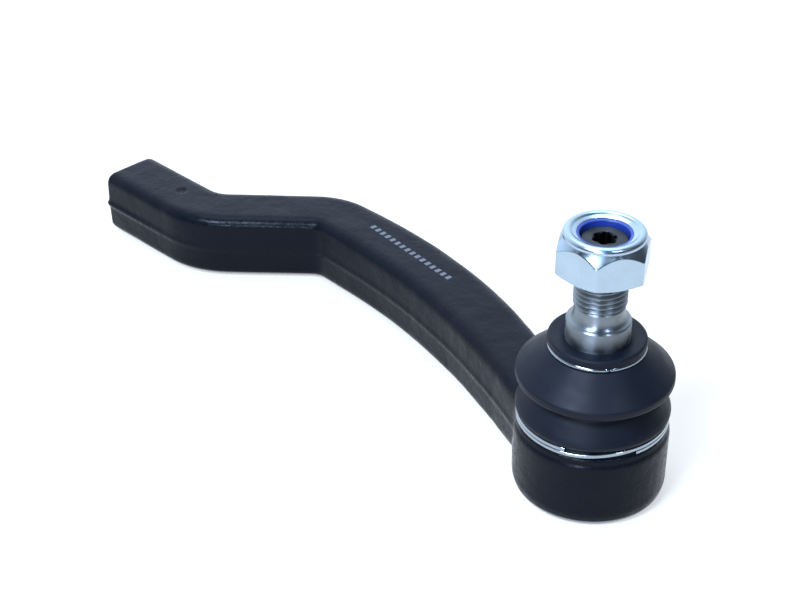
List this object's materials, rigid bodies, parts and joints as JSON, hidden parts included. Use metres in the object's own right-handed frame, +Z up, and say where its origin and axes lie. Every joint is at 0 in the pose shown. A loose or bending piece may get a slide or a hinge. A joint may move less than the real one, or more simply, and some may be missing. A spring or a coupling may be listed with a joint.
{
  "type": "tie rod end",
  "caption": "Outer tie rod end: cranked forged arm with a tapped end, and a booted ball stud with a threaded end and a lock nut.",
  "frame": {"origin": "on the stud axis, on the flat boss of the closure plate at the base of the socket", "axes": "+Z up the stud towards its threaded end, -X out of the tapped end of the arm, the arm's crank towards +Y"},
  "size_m": [0.1929, 0.0509, 0.0677],
  "materials": {
    "black_paint": "satin",
    "seat_polymer": "smooth moulded",
    "spring_steel": "phosphated",
    "plate_steel": "zinc plated",
    "seal_rubber": "matt",
    "stud_steel": "turned and oiled",
    "boot_rubber": "matt",
    "ring_wire": "bright zinc",
    "zinc_plate": "blue-white zinc",
    "blue_nylon": "smooth"
  },
  "bodies": {
    "housing": {"forged_housing": "black_paint", "upper_ball_seat": "seat_polymer", "lower_ball_seat": "seat_polymer", "preload_spring": "spring_steel", "closure_plate": "plate_steel", "closure_seal": "seal_rubber", "lower_boot_ring": "ring_wire"},
    "boot": {"dust_boot": "boot_rubber"},
    "boot_collar": {"upper_boot_ring": "ring_wire"},
    "stud": {"ball_stud": "stud_steel"},
    "insert": {"nylon_insert": "blue_nylon"},
    "nut": {"lock_nut": "zinc_plate"}
  },
  "joints": [
    {"name": "stud_tilt_along", "type": "hinge", "parent": "housing", "child": "boot", "pos_m": [0, 0, 0.013], "axis": [0, 1, 0], "range_deg": [-16, 16], "deforming": ["dust_boot"]},
    {"name": "stud_tilt_across", "type": "hinge", "parent": "boot", "child": "boot_collar", "pos_m": [0, 0, 0.013], "axis": [1, 0, 0], "range_deg": [-16, 16]},
    {"name": "stud_spin", "type": "hinge", "parent": "boot_collar", "child": "stud", "pos_m": [0, 0, 0.013], "axis": [0, 0, 1], "continuous": true},
    {"name": "nut_travel", "type": "slide", "parent": "stud", "child": "insert", "axis": [0, 0, 1], "range_m": [-0.0076, 0.0076]},
    {"name": "nut_turn", "type": "hinge", "parent": "insert", "child": "nut", "pos_m": [0, 0, 0.0576], "axis": [0, 0, 1], "range_deg": [-2160, 2160]}
  ],
  "couplings": [
    {"joint": "nut_travel", "follows": "nut_turn", "m_per_rad": 0.00019894}
  ]
}
